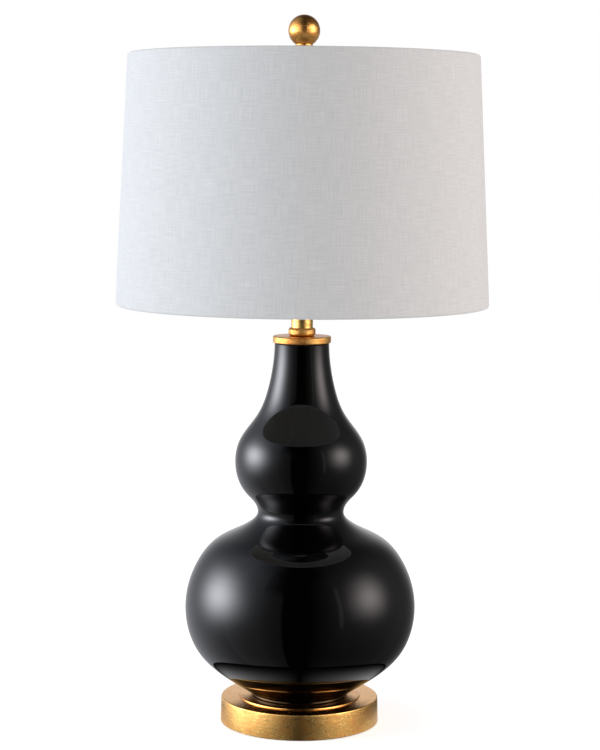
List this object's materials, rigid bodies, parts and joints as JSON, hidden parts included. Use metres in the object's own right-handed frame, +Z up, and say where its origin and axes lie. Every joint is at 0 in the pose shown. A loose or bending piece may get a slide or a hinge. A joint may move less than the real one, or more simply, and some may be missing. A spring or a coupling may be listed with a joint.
{
  "type": "double gourd table lamp",
  "caption": "Table lamp with a black glazed double gourd body, a stepped gold base, a gold cap and neck, a white drum shade on a harp and a gold ball finial.",
  "frame": {"origin": "on the table, under the lamp's own axis", "axes": "+Z up along the lamp's axis, -Y towards the viewer and the switch, +Y towards the cord's inlet, +X to the right"},
  "size_m": [0.381, 0.3808, 0.7276],
  "materials": {
    "black_felt": "dense felt",
    "gold_leaf_wood": "brushed gold leaf on turned wood",
    "cast_iron": "as cast, black",
    "zinc_steel": "zinc plated",
    "black_rubber": "matt",
    "black_bushing": "moulded",
    "black_glaze": "deep black gloss glaze",
    "gold_leaf_brass": "gold leaf, satin",
    "polished_brass": "polished",
    "plated_steel": "brass plated",
    "socket_brass": "satin",
    "socket_phenolic": "moulded",
    "liner_card": "pressed paper",
    "contact_brass": "plain",
    "shell_aluminium": "rolled",
    "knob_plastic": "moulded",
    "frosted_glass": "frosted white",
    "bulb_plastic": "white, satin",
    "bulb_insulator": "black glass",
    "white_linen": "fine white linen weave",
    "shade_styrene": "translucent white backing",
    "white_wire": "white enamel"
  },
  "bodies": {
    "stand": {"base_felt": "black_felt", "base_plinth": "gold_leaf_wood", "base_weight": "cast_iron", "weight_screws": "zinc_steel", "cord_bushing": "black_bushing", "bottom_washer": "zinc_steel", "lock_washer": "zinc_steel", "bottom_nut": "zinc_steel", "lamp_pipe": "zinc_steel", "foot_gasket": "black_rubber", "gourd_body": "black_glaze", "neck_gasket": "black_rubber", "vase_cap": "gold_leaf_brass", "neck_bead": "gold_leaf_brass", "neck_tube": "polished_brass", "check_ring": "polished_brass", "harp_saddle": "plated_steel", "socket_cap": "socket_brass", "socket_set_screw": "contact_brass", "socket_body": "socket_phenolic", "terminal_screws": "contact_brass", "socket_shell": "socket_brass", "socket_liner": "liner_card", "screw_shell": "shell_aluminium", "center_contact": "contact_brass"},
    "switch": {"switch_shaft": "contact_brass", "switch_knob": "knob_plastic"},
    "bulb": {"bulb_tip_contact": "contact_brass", "bulb_insulator": "bulb_insulator", "bulb_screw_base": "shell_aluminium", "bulb_collar": "bulb_plastic", "bulb_globe": "frosted_glass"},
    "harp": {"harp_bow": "plated_steel", "harp_stud": "plated_steel"},
    "sleeve_left": {"harp_sleeve_left": "plated_steel"},
    "sleeve_right": {"harp_sleeve_right": "plated_steel"},
    "shade": {"shade_cloth": "white_linen", "shade_backing": "shade_styrene", "shade_frame": "white_wire", "shade_bottom_ring": "white_wire"},
    "finial": {"finial_base": "polished_brass", "finial_ball": "gold_leaf_brass"}
  },
  "joints": [
    {"name": "switch_turn", "type": "hinge", "parent": "stand", "child": "switch", "pos_m": [0, -0.027, 0.4637], "axis": [0, -1, 0], "continuous": true},
    {"name": "bulb_turn", "type": "hinge", "parent": "stand", "child": "bulb", "pos_m": [0, 0, 0.5237], "axis": [0, 0, 1], "continuous": true},
    {"name": "harp_lift", "type": "slide", "parent": "stand", "child": "harp", "axis": [0, 0, 1], "range_m": [0, 0.012]},
    {"name": "sleeve_left_slide", "type": "slide", "parent": "harp", "child": "sleeve_left", "axis": [0, 0, 1], "range_m": [0, 0.018]},
    {"name": "sleeve_right_slide", "type": "slide", "parent": "harp", "child": "sleeve_right", "axis": [0, 0, 1], "range_m": [0, 0.018]},
    {"name": "shade_turn", "type": "hinge", "parent": "harp", "child": "shade", "pos_m": [0, 0, 0.6806], "axis": [0, 0, 1], "continuous": true},
    {"name": "finial_turn", "type": "hinge", "parent": "harp", "child": "finial", "pos_m": [0, 0, 0.6981], "axis": [0, 0, 1], "continuous": true}
  ]
}
